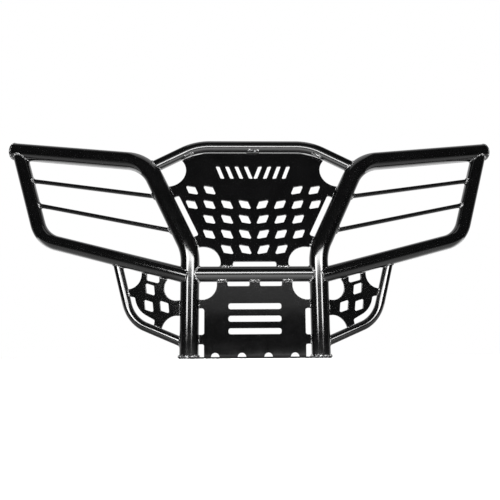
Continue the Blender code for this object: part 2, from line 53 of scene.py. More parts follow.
# The guard's own dimensions, in millimetres, as the CAD model has them. V is a height up the
# leaning plate from the cross tube's axis; in a wing, "along" and "up" are in its own plane.
MAIN_OD = 38.1
WING_OD = 31.75
HOOP_OD = 25.4
CORNER_OD = 19.05
ROD_D = 9.5
SHEET = 3.2
TAB_SHEET = 4.8
BASE_X = 130.7
BEND_X = 129.2
BEND_Z = 214.5
OUT_ANGLE = math.radians(25.0)
LEAN = math.radians(15.0)
SWEEP = math.radians(16.0)
MAIN_BEND_R = 88.9
BAR_RISE = math.radians(9.2)
BAR_START = 226.8
BAR_LENGTH = 330.8
CAP_THICK = 3.0
WING_ROOT_UP = -52.8
WING_SLOPE = math.radians(15.4)
WING_CORNER_ALONG = 337.9
WING_TOP_ALONG = 418.3
WING_BEND_R = 76.2
WING_TOP_SHORT = 10.5
RODS = (("upper", 117.7, math.radians(10.8)), ("lower", 39.9, math.radians(13.4)))
CROSS_Z = 167.0
HOOP_FLAT_V = 293.3
HOOP_CORNER_X = 122.4
HOOP_DROP = math.radians(29.6)
HOOP_LEG_X = 98.0
HOOP_BEND_R = 114.3
PLATE_BACK = 3.8
SCALLOP_LOW = (103.7, 24.0, 35.5)
SCALLOP_TOP = (180.8, 236.6, 38.6)
GRILLE_FOOT_V = 17.7
GRILLE_NOTCH = (43.6, 26.9)
GRILLE_FOOT_X = 70.0
RUN_TAB_LOW_V = 59.0
RUN_SLOT_V = (81.8, 172.5)
RUN_TAB_HIGH_V = 198.0
HOOP_TAB_X = (129.0, 146.0)
HOOP_RELIEF_X = (92.0, 106.0)
HOOP_MIDDLE_TAB = 14.0
HOOP_TAB_SLOPE = 4.0            # length of the step from a hoop tab to the slot
TUBE_SLOT = 10.7
HOOP_SLOT = 0.5
GRID_PITCH_X = 36.7
GRID_PITCH_V = 34.0
GRID_TOP_V = 189.6
GRID_ROWS = ((2.5, 3.5), (0.5, 1.5, 2.5, 3.5), (0.5, 1.5, 2.5), (0.5, 1.5, 2.5), (0.5, 1.5))
DIAMOND_ACROSS = (20.2, 3.7)
DIAMOND_DOWN = (7.3, 18.0)
DIAMOND_R = 2.6
VENT_V = 232.0
VENT_PITCH = 20.0
VENT_COUNT = 4
VENT_ACROSS = (8.5, 1.5)
VENT_DOWN = (11.0, 30.0)
VENT_R = 2.0
FOLD_R = 5.2
FOLD_END = -FOLD_R * math.pi / 2.0          # where the bend ends, down the flat pattern
FLANGE_HALF = 150.5
FLANGE_FRONT = -20.0
FLANGE_BACK = 80.0
SCALLOP_FACE = (105.8, 146.0, 30.0)
FACE_NOTCH_X = (10.7, 54.3)
FACE_NOTCH_Z = 143.2
FACE_TABS_Z = ((27.9, 46.7), (98.7, 116.9))
FACE_SIDE_X = 100.9
EAR_INNER_X = 105.0
EAR_NOTCH_Y = 13.0
EAR_NOTCH_WIDE = 3.8
LOUVRE_COUNT = 3
LOUVRE_HALF = 52.7
LOUVRE_TOP_Z = 102.7
LOUVRE_PITCH = 24.7
LOUVRE_HEIGHT = 11.5
LOUVRE_R = 4.6
RELIEF_R = 8.4
RELIEF_PITCH = 52.6
BOLT_D = 10.5
BOLT_X = (45.0, 120.0)
BOLT_Y = 50.0
CORNER_SWEEP = math.radians(16.0)
CORNER_ORIGIN_X = 130.0
CORNER_KNEE = (250.2, 76.9)
CORNER_LOW_SLOPE = math.radians(22.8)
CORNER_LEAN = math.radians(14.6)
CORNER_BEND_R = 70.0
CORNER_TOP_UP = 10.0            # how far the tube's axis runs on inside the wing tube
CORNER_TUBE_SLOT = 9.5
CORNER_UPRIGHT_SCALLOP = (156.9, 140.5, 25.2)
CORNER_OUTER_SCALLOP = (258.6, 170.5, 29.4)
CORNER_FOOT_SCALLOP = (155.6, 53.7, 31.0)
CORNER_UPRIGHT_TAB_Z = (84.4, 116.0)
CORNER_BAR_NOTCH_X = (192.0, 218.0)
CORNER_BAR_NOTCH = 12.0
CORNER_BAR_END_X = 228.6
CORNER_TUBE_TAB_Z = (141.0, 126.0)
CORNER_FOOT_TAB_X = (202.0, 186.2)
CORNER_DIAMOND_ACROSS = (18.3, 6.0)
CORNER_DIAMOND_DOWN = (2.2, 20.0)
CORNER_DIAMONDS = ((210.7, 139.4), (213.1, 106.0), (180.7, 103.1))
TAB_Z = (112.0, 162.0)
TAB_REACH = 70.0
TAB_HOLE_Y = 54.0
GAP = 0.3

# Fineness of the visible surfaces
AROUND = 72                     # sides of a tube
SHARP_TUBE, SHARP_CAP, SHARP_BEAD, SHARP_PLATE = 50.0, 35.0, 60.0, 60.0     # degrees
COPE_REACH = 90.0               # longest cut into a coped tube's end
COPE_HALVINGS = 40
BEND_STEP = 2.5                 # degrees of a bend per ring
EDGE_R = 0.55                   # rounded edge of the sheet parts
BEAD_SIDES = 14
CAP_EDGE_R = 1.6                # rounded edge of the tip caps
CAP_EDGE_STEPS = 6

# Weld beads: the ripples along them, and each bead's radius, in millimetres
RIPPLE = 2.5                    # length of one ripple
RIPPLE_STEPS = 6
RIPPLE_RISE = 0.26              # height of a ripple, as a share of the bead's radius
BEAD_UNEVEN = 0.10              # slow changes of width and place, as a share of the radius
BEAD_TIP = 0.03                 # what is left of the radius at a bead's ends
WELD_PAINTED_GLINT = 0.16               # grey of the painted glints, light dots in the weld coat's colour
BEAD_WING_ROOT = 1.2
BEAD_WING_TOP = 3.0
BEAD_CORNER_TUBE = 2.6
BEAD_ROD_IN = 4.3
BEAD_ROD_OUT = 4.2
BEAD_CAP = 1.5
BEAD_FOOT = 3.6
BEAD_FOOT_UP = 1.7              # above the flange's top
BEAD_CROSS = 3.0
BEAD_HOOP = 2.8
BEAD_HOOP_MIDDLE = 3.6
BEAD_HOOP_SIDE = 3.8
BEAD_GRILLE_FOOT = 3.4
BEAD_RUN = 2.5
BEAD_FACE_TOP = 4.2
BEAD_FACE_SIDE = 3.0
BEAD_CORNER_EDGE = 2.4
BEAD_CORNER_TAB = 2.2
BEAD_OVER = 0.5
BEAD_HOOP_MIDDLE_X = 13.5
BEAD_HOOP_SIDE_X = (126.0, 133.0, 140.0, 147.0)
BEAD_GRILLE_FOOT_X = (43.0, 71.0)
BEAD_FACE_MIDDLE_X = 10.8
BEAD_FACE_TOP_X = (54.5, 77.0)
BEAD_FACE_TOP_PLACE = (-8.2, 2.8)           # depth, and height above the cross tube's underside
BEAD_CORNER_BAR_X = ((176.5, 192.5), (217.5, 229.6))

TUBE_FINISH = "gloss_black_tube"
PLATE_FINISH = "gloss_black_plate"

RUN = Vector((math.sin(OUT_ANGLE), math.cos(OUT_ANGLE) * math.sin(LEAN),
              math.cos(OUT_ANGLE) * math.cos(LEAN)))
ALONG = Vector((math.cos(SWEEP), math.sin(SWEEP), 0.0))
WING_UP = (RUN - ALONG * RUN.dot(ALONG)).normalized()
BEND = Vector((BEND_X, 0.0, BEND_Z))        # the upright's axis meets the run's here
RUN_SLOPE = RUN.dot(ALONG) / RUN.dot(WING_UP)
BEND_V = (BEND_Z - CROSS_Z) / math.cos(LEAN)
SIDES = (("left", -1), ("right", 1))

scene = bpy.context.scene
looks = bpy.data.collections.new("looks")
scene.collection.children.link(looks)


# ---- materials

def node(tree, kind, **values):
    made = tree.nodes.new(kind)
    for key, value in values.items():
        setattr(made, key, value)
    return made


def noise_of(tree, coords, scale, detail, roughness=0.5, distortion=0.0):
    made = node(tree, "ShaderNodeTexNoise")
    made.inputs["Scale"].default_value = scale
    made.inputs["Detail"].default_value = detail
    made.inputs["Roughness"].default_value = roughness
    made.inputs["Distortion"].default_value = distortion
    tree.links.new(coords, made.inputs["Vector"])
    return made.outputs["Fac"]


def spread(tree, source, low, high, from_low=0.3, from_high=0.7):
    """Maps one range of values to another and holds its ends."""
    made = node(tree, "ShaderNodeMapRange")
    made.inputs["From Min"].default_value = from_low
    made.inputs["From Max"].default_value = from_high
    made.inputs["To Min"].default_value = low
    made.inputs["To Max"].default_value = high
    tree.links.new(source, made.inputs["Value"])
    return made.outputs["Result"]


def bump_of(tree, height, distance, under=None):
    made = node(tree, "ShaderNodeBump")
    made.inputs["Strength"].default_value = 1.0
    made.inputs["Distance"].default_value = distance
    tree.links.new(height, made.inputs["Height"])
    if under is not None:
        tree.links.new(under, made.inputs["Normal"])
    return made.outputs["Normal"]


def math_of(tree, operation, *sources):
    made = node(tree, "ShaderNodeMath", operation=operation)
    for source, socket in zip(sources, made.inputs):
        tree.links.new(source, socket)
    return made.outputs["Value"]


def axes_of(tree, coords):
    split = node(tree, "ShaderNodeSeparateXYZ")
    tree.links.new(node(tree, "ShaderNodeTexCoord").outputs[coords], split.inputs["Vector"])
    return split.outputs


def powder_coat(name, shade, rough, peel, waves):
    """Gloss black powder coat: orange peel, slow waves of the steel below, uneven gloss."""
    made = bpy.data.materials.new(name)
    made.use_nodes = True
    tree = made.node_tree
    shader = tree.nodes["Principled BSDF"]
    shader.inputs["IOR"].default_value = 1.5
    place = node(tree, "ShaderNodeTexCoord").outputs["Object"]
    cloud = noise_of(tree, place, scale=26.0, detail=3.0)
    ramp = node(tree, "ShaderNodeValToRGB")
    dark, light = ramp.color_ramp.elements
    dark.position, light.position = 0.3, 0.7
    dark.color = (shade * 0.75, shade * 0.75, shade * 0.8, 1.0)
    light.color = (shade * 1.3, shade * 1.3, shade * 1.34, 1.0)
    tree.links.new(cloud, ramp.inputs["Fac"])
    tree.links.new(ramp.outputs["Color"], shader.inputs["Base Color"])
    patches = noise_of(tree, place, scale=60.0, detail=4.0, roughness=0.55)
    uneven = spread(tree, patches, rough * 0.8, rough * 1.25)
    tree.links.new(uneven, shader.inputs["Roughness"])
    low = bump_of(tree, noise_of(tree, place, scale=14.0, detail=2.0), waves)
    peeled = noise_of(tree, place, scale=520.0, detail=2.0)
    tree.links.new(bump_of(tree, peeled, peel, low), shader.inputs["Normal"])
    return made


def weld_coat(name, shade, rough):
    """The same coat over a weld: thicker, lumpier, with painted glints, light grey dots scattered
    by noise in its colour.
    """
    made = powder_coat(name, shade, rough, peel=0.000010, waves=0.00003)
    tree = made.node_tree
    shader = tree.nodes["Principled BSDF"]
    normal, colour = shader.inputs["Normal"], shader.inputs["Base Color"]
    place = next(n for n in tree.nodes if n.type == "TEX_COORD").outputs["Object"]
    lumps = noise_of(tree, place, scale=380.0, detail=3.0, roughness=0.6, distortion=0.4)
    tree.links.new(bump_of(tree, lumps, 0.0008, normal.links[0].from_socket), normal)
    # painted glints: light grey mixed into the coat's colour wherever a fine noise is high
    glint_paint = node(tree, "ShaderNodeMix", data_type="RGBA")
    glint_paint.inputs["B"].default_value = (WELD_PAINTED_GLINT, WELD_PAINTED_GLINT, WELD_PAINTED_GLINT, 1.0)
    painted_glints = noise_of(tree, place, scale=300.0, detail=1.0)
    tree.links.new(spread(tree, painted_glints, 0.0, 1.0, 0.53, 0.62), glint_paint.inputs["Factor"])
    tree.links.new(colour.links[0].from_socket, glint_paint.inputs["A"])
    tree.links.new(glint_paint.outputs["Result"], colour)
    return made


tube_coat = powder_coat("powder_coat_tube", shade=0.0008, rough=0.12, peel=0.0000020, waves=0.00012)
plate_coat = powder_coat("powder_coat_plate", shade=0.0010, rough=0.085, peel=0.0000022,
                         waves=0.00022)
rod_coat = powder_coat("powder_coat_rod", shade=0.0012, rough=0.16, peel=0.0000035, waves=0.00005)
bead_coat = weld_coat("powder_coat_weld_painted_glints", shade=0.0022, rough=0.14)


# ---- small tools

def world(p):
    """A point of the layout, in metres in the model's frame."""
    return Vector((p[0], p[1] + SHIFT_Y, p[2])) * MM


def across(point, side):
    """A point of the right half, mirrored where side is -1."""
    return Vector((side * point.x, point.y, point.z))


def new_object(name, data, where=scene.collection):
    made = bpy.data.objects.new(name, data)
    where.objects.link(made)
    return made


def add_piece(name, mesh, material, slot, *nodes):
    made = new_object(name, mesh, looks)
    mesh.materials.clear()
    mesh.materials.append(material)
    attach(made, "root")
    if nodes:
        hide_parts(*nodes)
    return made


@contextmanager
def editing(mesh):
    work = bmesh.new()
    work.from_mesh(mesh)
    yield work
    work.to_mesh(mesh)
    work.free()


def smooth(mesh, smooth_angle):
    """Turns the faces outwards and shades them smooth but for the sharp edges."""
    with editing(mesh) as work:
        bmesh.ops.recalc_face_normals(work, faces=work.faces)
    mesh.shade_smooth()
    mesh.set_sharp_from_angle(angle=math.radians(smooth_angle))


def mesh_from(name, points, faces, smooth_angle):
    mesh = bpy.data.meshes.new(name)
    mesh.from_pydata([world(p) for p in points], [], faces)
    smooth(mesh, smooth_angle)
    return mesh


def circle(axis, side, radius):
    """Offsets round an axis; side is a unit vector across it."""
    up = axis.cross(side)
    angles = [2.0 * math.pi * k / AROUND for k in range(AROUND)]
    return [(side * math.cos(a) + up * math.sin(a)) * radius for a in angles]


def ring_faces(rings, around, closed=False):
    """Four-sided faces between rings of points that follow each other."""
    faces = []
    for i in range(rings if closed else rings - 1):
        here, there = i * around, (i + 1) % rings * around
        for k in range(around):
            n = (k + 1) % around
            faces.append((here + k, here + n, there + n, there + k))
    return faces


def end_faces(rings, around):
    """One face on the first ring and one on the last."""
    return [tuple(range(around))[::-1], tuple(range((rings - 1) * around, rings * around))]


# ---- paths

def bent(corners, radius):
    """A tube's axis through these corners, each bent to the radius."""
    path = [corners[0]]
    for before, here, after in zip(corners, corners[1:], corners[2:]):
        back = (before - here).normalized()
        ahead = (after - here).normalized()
        half = back.angle(ahead) / 2.0
        turn = math.pi - 2.0 * half
        centre = here + (back + ahead).normalized() * (radius / math.sin(half))
        axis = back.cross(ahead).normalized()
        first = here + back * (radius / math.tan(half)) - centre
        steps = max(2, round(math.degrees(turn) / BEND_STEP))
        for k in range(steps + 1):
            path.append(centre + Matrix.Rotation(-turn * k / steps, 3, axis) @ first)
    path.append(corners[-1])
    return path


def wing_point(along, up):
    return BEND + ALONG * along + WING_UP * up


def lean_point(x, v):
    return Vector((x, (v - BEND_V) * math.sin(LEAN), CROSS_Z + v * math.cos(LEAN)))


def upright_x(z):
    """Where the upright's axis is at a height."""
    return BEND_X + (BASE_X - BEND_X) * (BEND_Z - z) / BEND_Z


def corner_point(x, z):
    return Vector((x, (x - CORNER_ORIGIN_X) * math.tan(CORNER_SWEEP), z))


def bar_direction():
    return ALONG * math.cos(BAR_RISE) + WING_UP * math.sin(BAR_RISE)


def bar_up(along):
    """Where the wing bar's axis is at a distance along the wing."""
    start_along = BAR_START * RUN.dot(ALONG)
    start_up = BAR_START * RUN.dot(WING_UP)
    return start_up + (along - start_along) * math.tan(BAR_RISE)


def main_path():
    base = Vector((upright_x(SHEET), 0.0, SHEET))
    bar_corner = BEND + RUN * BAR_START
    tip = bar_corner + bar_direction() * (BAR_LENGTH - CAP_THICK)
    return bent([base, BEND, bar_corner, tip], MAIN_BEND_R)


def wing_path():
    knee = wing_point(WING_CORNER_ALONG, WING_ROOT_UP + WING_CORNER_ALONG * math.tan(WING_SLOPE))
    top = wing_point(WING_TOP_ALONG, bar_up(WING_TOP_ALONG))
    top += (knee - top).normalized() * WING_TOP_SHORT
    return bent([wing_point(0.0, WING_ROOT_UP), knee, top], WING_BEND_R)


def hoop_path():
    foot = (HOOP_CORNER_X + HOOP_LEG_X, HOOP_FLAT_V - HOOP_LEG_X * math.tan(HOOP_DROP))
    corners = [lean_point(-foot[0], foot[1]), lean_point(-HOOP_CORNER_X, HOOP_FLAT_V),
               lean_point(HOOP_CORNER_X, HOOP_FLAT_V), lean_point(*foot)]
    return bent(corners, HOOP_BEND_R)


def wing_root_z(x):
    """Height of the axis of the wing tube's lower bar."""
    root, tip = wing_point(0.0, WING_ROOT_UP), wing_path()[1]
    return root.z + (tip.z - root.z) * (x - root.x) / (tip.x - root.x)


def corner_tube_x(z):
    return CORNER_KNEE[0] + (z - CORNER_KNEE[1]) * math.tan(CORNER_LEAN)


def corner_tube_z(x):
    return CORNER_KNEE[1] + (x - CORNER_KNEE[0]) * math.tan(CORNER_LOW_SLOPE)


def corner_path():
    top_z = wing_root_z(CORNER_KNEE[0]) + CORNER_TOP_UP
    corners = [corner_point(BASE_X, corner_tube_z(BASE_X)), corner_point(*CORNER_KNEE),
               corner_point(corner_tube_x(top_z), top_z)]
    return bent(corners, CORNER_BEND_R)


def rod_path(start_up, slope):
    """A guard rod's axis from the run's to that of the wing tube's outer leg."""
    knee_up = WING_ROOT_UP + WING_CORNER_ALONG * math.tan(WING_SLOPE)
    leg = (WING_TOP_ALONG - WING_CORNER_ALONG) / (bar_up(WING_TOP_ALONG) - knee_up)
    start_along = start_up * RUN_SLOPE
    reach = WING_CORNER_ALONG + leg * (start_up - knee_up) - start_along
    reach /= 1.0 - leg * math.tan(slope)
    return [wing_point(start_along, start_up),
            wing_point(start_along + reach, start_up + reach * math.tan(slope))]


# ---- tubes

def nearest(path, points):
    """For each point, its distance from the path and the nearest point on it."""
    a = np.array([tuple(p) for p in path[:-1]])
    b = np.array([tuple(p) for p in path[1:]])
    d = b - a
    rel = points[:, None, :] - a[None]
    t = np.clip((rel * d).sum(2) / (d * d).sum(1), 0.0, 1.0)
    near = a[None] + t[..., None] * d
    gap = np.linalg.norm(points[:, None, :] - near, axis=2)
    best = gap.argmin(1)
    rows = np.arange(len(points))
    return gap[rows, best], near[rows, best]


def cope_ring(origin, direction, offsets, target, radius):
    """Where lines along a tube's wall meet another tube's outside."""
    base = np.array([tuple(origin + o) for o in offsets])
    step = np.array(tuple(direction))
    inside = np.zeros(len(base))
    outside = np.full(len(base), COPE_REACH)
    for _ in range(COPE_HALVINGS):
        middle = (inside + outside) / 2.0
        gap, _ = nearest(target, base + middle[:, None] * step)
        within = gap < radius
        inside = np.where(within, middle, inside)
        outside = np.where(within, outside, middle)
    return [Vector(p) for p in base + outside[:, None] * step]


def frames(path, closed=False):
    """Unit tangents and twist-free side vectors along a path."""
    count = len(path)
    tangents = []
    for i in range(count):
        if closed:
            tangents.append((path[(i + 1) % count] - path[i - 1]).normalized())
        else:
            ahead = path[min(i + 1, count - 1)] - path[i]
            back = path[i] - path[max(i - 1, 0)]
            ahead, back = ahead.normalized(), back.normalized()
            tangents.append(((ahead if ahead.length else back)
                             + (back if back.length else ahead)).normalized())
    side = tangents[0].orthogonal().normalized()
    sides = [side]
    for before, here in zip(tangents, tangents[1:]):
        side = before.rotation_difference(here) @ side
        side = (side - here * side.dot(here)).normalized()
        sides.append(side)
    return tangents, sides


def tube_mesh(name, path, diameter, start=None, end=None):
    """A smooth tube; start and end are (path, diameter) of the tubes it is coped to."""
    tangents, sides = frames(path)
    rings, copes = [], []
    last = len(path) - 1
    ends = {0: (start, 1), last: (end, last - 1)}
    for i, (place, tangent, side) in enumerate(zip(path, tangents, sides)):
        ring = circle(tangent, side, diameter / 2.0)
        target, inner = ends.get(i, (None, None))
        if target:
            direction = (path[inner] - place).normalized()
            coped = cope_ring(place, direction, ring, target[0], target[1] / 2.0)
            copes.append((coped, ring, target))
            rings.append(coped)
        else:
            rings.append([place + o for o in ring])
    points = [p for ring in rings for p in ring]
    faces = ring_faces(len(rings), AROUND)
    for first in (0, last * AROUND):
        hub = len(points)
        points.append(sum(points[first:first + AROUND], Vector()) / AROUND)
        faces += [(hub, first + k, first + (k + 1) % AROUND) for k in range(AROUND)]
    return mesh_from(name, points, faces, SHARP_TUBE), copes


def add_tube(name, path, diameter, cad_node, start=None, end=None, beads=(), coat=tube_coat):
    """Adds a tube that stands for a CAD node; beads are (name, radius, seed) at its coped ends."""
    mesh, copes = tube_mesh(name, path, diameter, start, end)
    add_piece(name, mesh, coat, TUBE_FINISH, cad_node)
    for cope, (bead, radius, seed) in zip(copes, beads):
        cope_bead(bead, cope, radius, seed)


# ---- weld beads

def wobble(s, seed):
    """A slow uneven wave along a bead, within 1 either way."""
    return (math.sin(s * 0.83 + seed * 1.7) + 0.6 * math.sin(s * 2.13 + seed * 3.1)
            + 0.4 * math.sin(s * 4.7 + seed * 0.9)) / 2.0


def resample(loop, normals, closed, spacing):
    """Even steps along a line of points, with their normals."""
    ends = list(loop) + ([loop[0]] if closed else [])
    norms = list(normals) + ([normals[0]] if closed else [])
    lengths = [0.0]
    for a, b in zip(ends, ends[1:]):
        lengths.append(lengths[-1] + (b - a).length)
    total = lengths[-1]
    count = max(8, round(total / spacing))
    out, out_normals = [], []
    j = 0
    for i in range(count if closed else count + 1):
        s = total * i / count
        while j < len(lengths) - 2 and lengths[j + 1] < s:
            j += 1
        span = lengths[j + 1] - lengths[j]
        share = 0.0 if span < 1e-9 else (s - lengths[j]) / span
        out.append(ends[j].lerp(ends[j + 1], share))
        out_normals.append(norms[j].lerp(norms[j + 1], share).normalized())
    return out, out_normals, total


def bead_mesh(name, loop, normals, radius, closed, seed, flat=0.8, sink=0.25):
    """A rippled bead along a seam; normals point out of the seam's corner."""
    spacing = RIPPLE / RIPPLE_STEPS
    centres, outs, total = resample(loop, normals, closed, spacing)
    count = len(centres)
    ripples = max(2, round(total / RIPPLE))
    tangents, _ = frames(centres, closed)
    points = []
    for i, (centre, tangent, out) in enumerate(zip(centres, tangents, outs)):
        out = (out - tangent * out.dot(tangent)).normalized()
        side = tangent.cross(out)
        s = total * i / count
        phase = (ripples * i / count) % 1.0
        rise = 1.0 + RIPPLE_RISE * (math.sin(math.pi * phase) ** 0.6 - 0.6)
        size = radius * rise * (1.0 + BEAD_UNEVEN * wobble(s / 3.0, seed))
        full = 1.0
        if not closed:
            full = min(1.0, min(i, count - 1 - i) * spacing / radius)
            size *= math.sqrt(full * (2.0 - full)) * (1.0 - BEAD_TIP) + BEAD_TIP
        aside = BEAD_UNEVEN * radius * wobble(s / 2.0, seed + 5.0)
        middle = centre + side * aside - out * (sink * radius)
        for k in range(BEAD_SIDES):
            a = 2.0 * math.pi * k / BEAD_SIDES
            lag = 0.55 * RIPPLE * max(0.0, math.cos(a)) ** 2
            points.append(middle + out * (math.cos(a) * size * flat) + side * (math.sin(a) * size)
                          - tangent * (lag * full))
    faces = ring_faces(count, BEAD_SIDES, closed)
    if not closed:
        faces += end_faces(count, BEAD_SIDES)
    return mesh_from(name, points, faces, SHARP_BEAD)


def add_bead(name, loop, normals, radius, closed, seed, **shape):
    mesh = bead_mesh(name, loop, normals, radius, closed, seed, **shape)
    add_piece(name, mesh, bead_coat, TUBE_FINISH)


def cope_bead(name, cope, radius, seed):
    """A bead round the end of a coped tube."""
    loop, offsets, (target, _) = cope
    _, axis = nearest(target, np.array([tuple(p) for p in loop]))
    normals = []
    for p, o, a in zip(loop, offsets, axis):
        normals.append((o.normalized() + (p - Vector(a)).normalized()).normalized())
    add_bead(name, loop, normals, radius, True, seed)


def ring_bead(name, centre, axis, radius, seed, lift=None, **shape):
    """A bead round a main tube's end; lift turns its crest towards the tube's axis."""
    spokes = circle(axis, axis.orthogonal().normalized(), 1.0)
    loop = [centre + s * (MAIN_OD / 2.0) for s in spokes]
    normals = [(s + lift).normalized() for s in spokes] if lift else spokes
    add_bead(name, loop, normals, radius, True, seed, **shape)


def seam(name, points, out, radius, seed):
    """A short bead where a plate's tab meets a tube; out points away from the corner."""
    loop = []
    for a, b in zip(points, points[1:]):
        loop += [a.lerp(b, k / 8.0) for k in range(8)]
    loop.append(points[-1])
    add_bead(name, loop, [out.normalized()] * len(loop), radius, False, seed)


# ---- plates

def arc(cx, cy, radius, start, end, steps):
    angles = [math.radians(start + (end - start) * i / steps) for i in range(steps + 1)]
    return [(cx + radius * math.cos(a), cy + radius * math.sin(a)) for a in angles]


def round_hole(cx, cy, radius, sides=48):
    return arc(cx, cy, radius, 0.0, 360.0 - 360.0 / sides, sides - 1)


def rounded(corners, steps=8):
    """An outline through (x, y, radius) corners."""
    points = []
    count = len(corners)
    for i, (x, y, radius) in enumerate(corners):
        here = Vector((x, y))
        if radius <= 0.0:
            points.append((x, y))
            continue
        back = (Vector(corners[i - 1][:2]) - here).normalized()
        ahead = (Vector(corners[(i + 1) % count][:2]) - here).normalized()
        half = back.angle(ahead) / 2.0
        centre = here + (back + ahead).normalized() * (radius / math.sin(half))
        first = here + back * (radius / math.tan(half)) - centre
        last = here + ahead * (radius / math.tan(half)) - centre
        turn = first.angle_signed(last)
        for k in range(steps + 1):
            spot = Matrix.Rotation(-turn * k / steps, 2) @ first
            points.append((centre.x + spot.x, centre.y + spot.y))
    return points


def mirrored(half):
    """The whole outline of a plate from its right half."""
    return half + [(-x, y) for x, y in reversed(half) if x > 1e-6]


def four_sided(cx, cy, a, b, radius):
    """A rounded hole whose sides lie at a and b, two half axes, from its middle."""
    return rounded([(cx + i * a[0] + j * b[0], cy + i * a[1] + j * b[1], radius)
                    for i, j in ((-1, -1), (1, -1), (1, 1), (-1, 1))])


def diamond(cx, cy, across_edge, down, side, radius=DIAMOND_R):
    return four_sided(cx, cy, (-side * across_edge[0] / 2.0, -across_edge[1] / 2.0),
                      (-side * down[0] / 2.0, -down[1] / 2.0), radius)


def plate_mesh(name, outlines, thickness):
    """A sheet in its own XY plane (millimetres), its cut edges slightly rounded."""
    curve = bpy.data.curves.new(name, "CURVE")
    curve.dimensions = "2D"
    curve.fill_mode = "BOTH"
    curve.extrude = thickness / 2.0 - EDGE_R
    curve.bevel_depth = EDGE_R
    curve.bevel_resolution = 2
    curve.offset = -EDGE_R
    for outline in outlines:
        spline = curve.splines.new("POLY")
        spline.points.add(len(outline) - 1)
        for point, (x, y) in zip(spline.points, outline):
            point.co = (x, y, 0.0, 1.0)
        spline.use_cyclic_u = True
    holder = new_object(name, curve)
    bpy.context.view_layer.update()
    graph = bpy.context.evaluated_depsgraph_get()
    mesh = bpy.data.meshes.new_from_object(holder.evaluated_get(graph))
    bpy.data.objects.remove(holder, do_unlink=True)
    with editing(mesh) as work:
        bmesh.ops.remove_doubles(work, verts=work.verts, dist=0.001)
        bmesh.ops.dissolve_limit(work, angle_limit=math.radians(0.5), verts=work.verts,
                                 edges=work.edges)
    mesh.name = name
    return mesh


def place_plate(name, mesh, place, cad_node):
    """Moves a plate's mesh into the model's frame and adds it."""
    for vert in mesh.vertices:
        vert.co = world(place(vert.co))
    smooth(mesh, SHARP_PLATE)
    made = add_piece(name, mesh, plate_coat, PLATE_FINISH, cad_node)
    even = made.modifiers.new("even_shading", "WEIGHTED_NORMAL")
    even.mode = "FACE_AREA"
    even.weight = 100
    even.keep_sharp = True


def run_edge_x(v, offset):
    """Where a line at a distance inside the run's axis is at a height up the lean."""
    return BEND_X + (v - BEND_V) * math.tan(OUT_ANGLE) - offset / math.cos(OUT_ANGLE)


def hoop_edge_v(x, offset):
    """Height of a line at a distance below the axis of the hoop's leg."""
    return HOOP_FLAT_V - (x - HOOP_CORNER_X) * math.tan(HOOP_DROP) - offset / math.cos(HOOP_DROP)


def hoop_under(x, slot=0.0):
    """Height of the hoop's lower edge, as far as its bend goes, less a slot below it."""
    flat_end = HOOP_CORNER_X - HOOP_BEND_R * math.tan(HOOP_DROP / 2.0)
    inner = HOOP_BEND_R - HOOP_OD / 2.0 - slot
    drop = max(0.0, abs(x) - flat_end)
    return HOOP_FLAT_V - HOOP_BEND_R + math.sqrt(inner * inner - drop * drop)


def grille_outline():
    touch = MAIN_OD / 2.0 + GAP
    clear = touch + TUBE_SLOT
    hoop_touch = HOOP_OD / 2.0 + GAP
    hoop_clear = hoop_touch + HOOP_SLOT
    notch_x, notch_v = GRILLE_NOTCH
    slot_low, slot_high = RUN_SLOT_V
    tab_in, tab_out = HOOP_TAB_X
    slot_out = tab_in - HOOP_TAB_SLOPE
    half = rounded([(0.0, notch_v, 0.0), (notch_x, notch_v, 5.0), (notch_x, GRILLE_FOOT_V, 0.0),
                    (GRILLE_FOOT_X, GRILLE_FOOT_V, 0.0)])[1:]
    half += arc(*SCALLOP_LOW, 187.0, 78.0, 40)
    half += rounded([(run_edge_x(v, offset), v, radius) for v, offset, radius in (
        (RUN_TAB_LOW_V, touch, 0.0), (slot_low, touch, 0.0), (slot_low + 4.0, clear, 4.0),
        (slot_high + 4.0, clear, 4.0), (slot_high, touch, 0.0), (RUN_TAB_HIGH_V, touch, 0.0))])
    half += arc(*SCALLOP_TOP, 262.0, 141.0, 48)
    half += [(tab_out, hoop_edge_v(tab_out, hoop_touch)),
             (tab_in, hoop_edge_v(tab_in, hoop_touch + 1.7)),
             (slot_out, hoop_edge_v(slot_out, hoop_clear + 2.2))]
    slot = hoop_clear - HOOP_OD / 2.0
    half += [(x, hoop_under(x, slot)) for x in (HOOP_RELIEF_X[1], 102.0, 97.0, HOOP_RELIEF_X[0])]
    half += [(HOOP_MIDDLE_TAB, HOOP_FLAT_V - hoop_clear),
             (HOOP_MIDDLE_TAB, HOOP_FLAT_V - hoop_touch)]
    return mirrored(half)


def grille_holes():
    holes = []
    for row, columns in enumerate(GRID_ROWS):
        v = GRID_TOP_V - row * GRID_PITCH_V
        for column in columns:
            for _, side in SIDES:
                x = side * column * GRID_PITCH_X
                holes.append(diamond(x, v, DIAMOND_ACROSS, DIAMOND_DOWN, side))
    for k in range(VENT_COUNT):
        for _, side in SIDES:
            x = side * (k + 0.5) * VENT_PITCH
            holes.append(diamond(x, VENT_V, VENT_ACROSS, VENT_DOWN, side, VENT_R))
    return holes


def face_height(z):
    """The flat pattern's height for a height on the folded plate's face."""
    return z - FOLD_R - SHEET / 2.0


def flange_height(y):
    """The flat pattern's height for a depth on the folded flange."""
    return FOLD_END - (y - FOLD_R)


